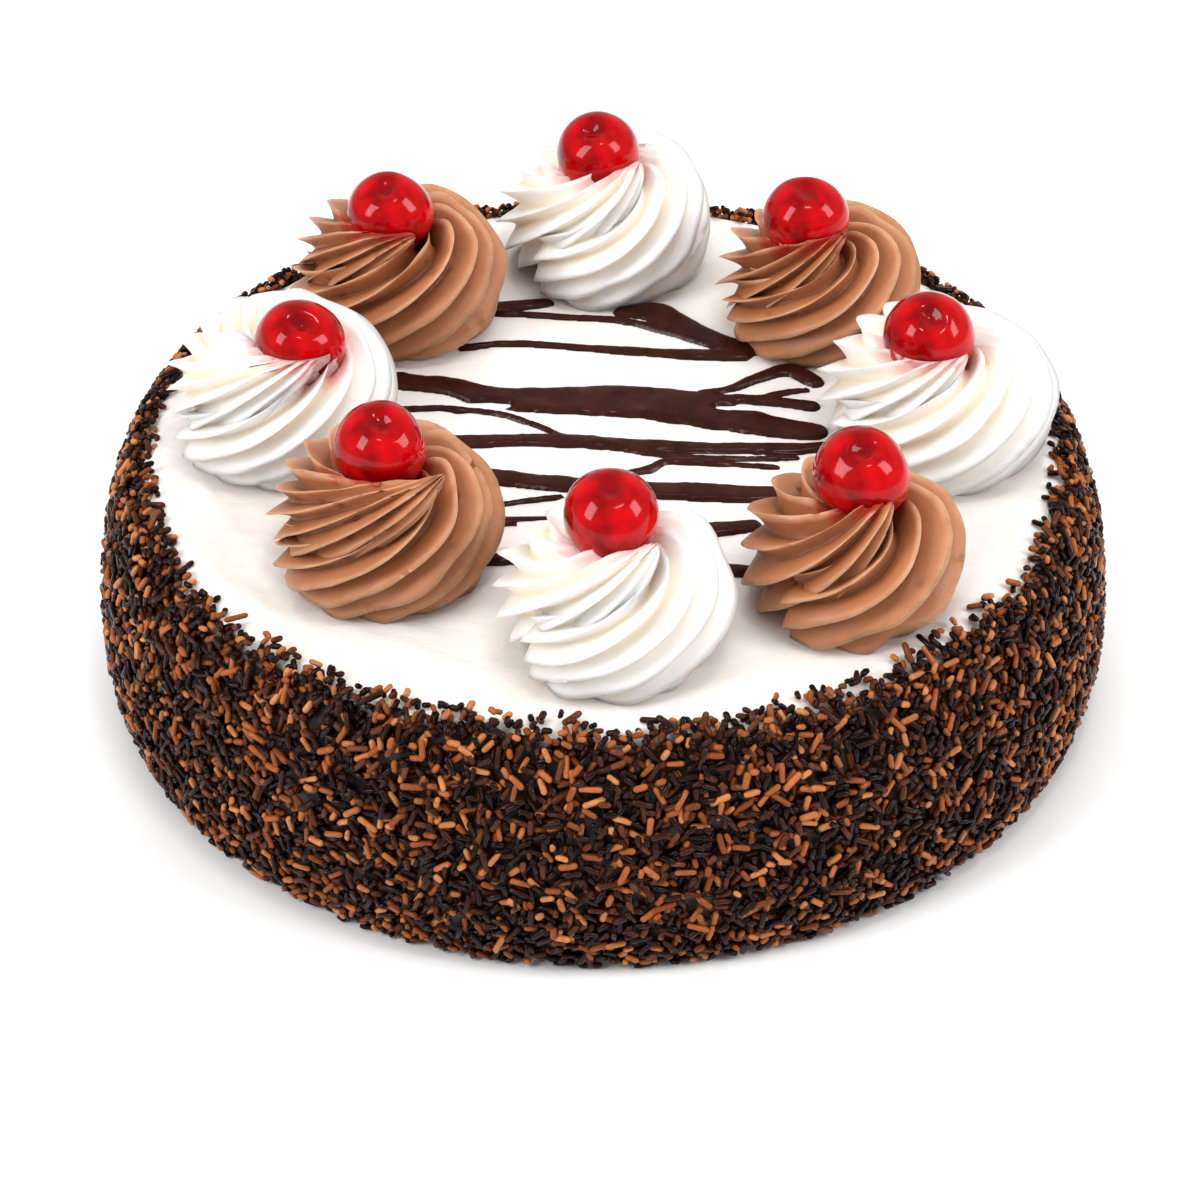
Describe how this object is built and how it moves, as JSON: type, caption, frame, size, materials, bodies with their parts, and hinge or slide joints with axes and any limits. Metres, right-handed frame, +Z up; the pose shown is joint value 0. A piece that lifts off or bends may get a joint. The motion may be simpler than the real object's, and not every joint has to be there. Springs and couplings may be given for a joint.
{
  "type": "black forest cake",
  "caption": "Whole round iced cake with chocolate sprinkles round its side and a ring of piped white and chocolate cream rosettes, each topped with a glossy cherry.",
  "frame": {"origin": "centre of the flat underside, on the surface that the cake rests on", "axes": "+Z up through the middle of the cake, -Y towards the front white rosette, +X to the right"},
  "size_m": [0.2032, 0.2032, 0.0856],
  "materials": {
    "cream": "soft satin whipped cream",
    "chocolate_cream": "satin chocolate buttercream",
    "cherry": "wet glaze",
    "sprinkles": "polished chocolate strands",
    "chocolate_sauce": "glossy set sauce"
  },
  "bodies": {
    "root": {"cake": "cream", "sprinkle_coat": "sprinkles", "rosette_white_1": "cream", "rosette_chocolate_2": "chocolate_cream", "rosette_white_3": "cream", "rosette_chocolate_4": "chocolate_cream", "rosette_white_5": "cream", "rosette_chocolate_6": "chocolate_cream", "rosette_white_7": "cream", "rosette_chocolate_8": "chocolate_cream", "cherry_1": "cherry", "cherry_2": "cherry", "cherry_3": "cherry", "cherry_4": "cherry", "cherry_5": "cherry", "cherry_6": "cherry", "cherry_7": "cherry", "cherry_8": "cherry"}
  },
  "joints": []
}
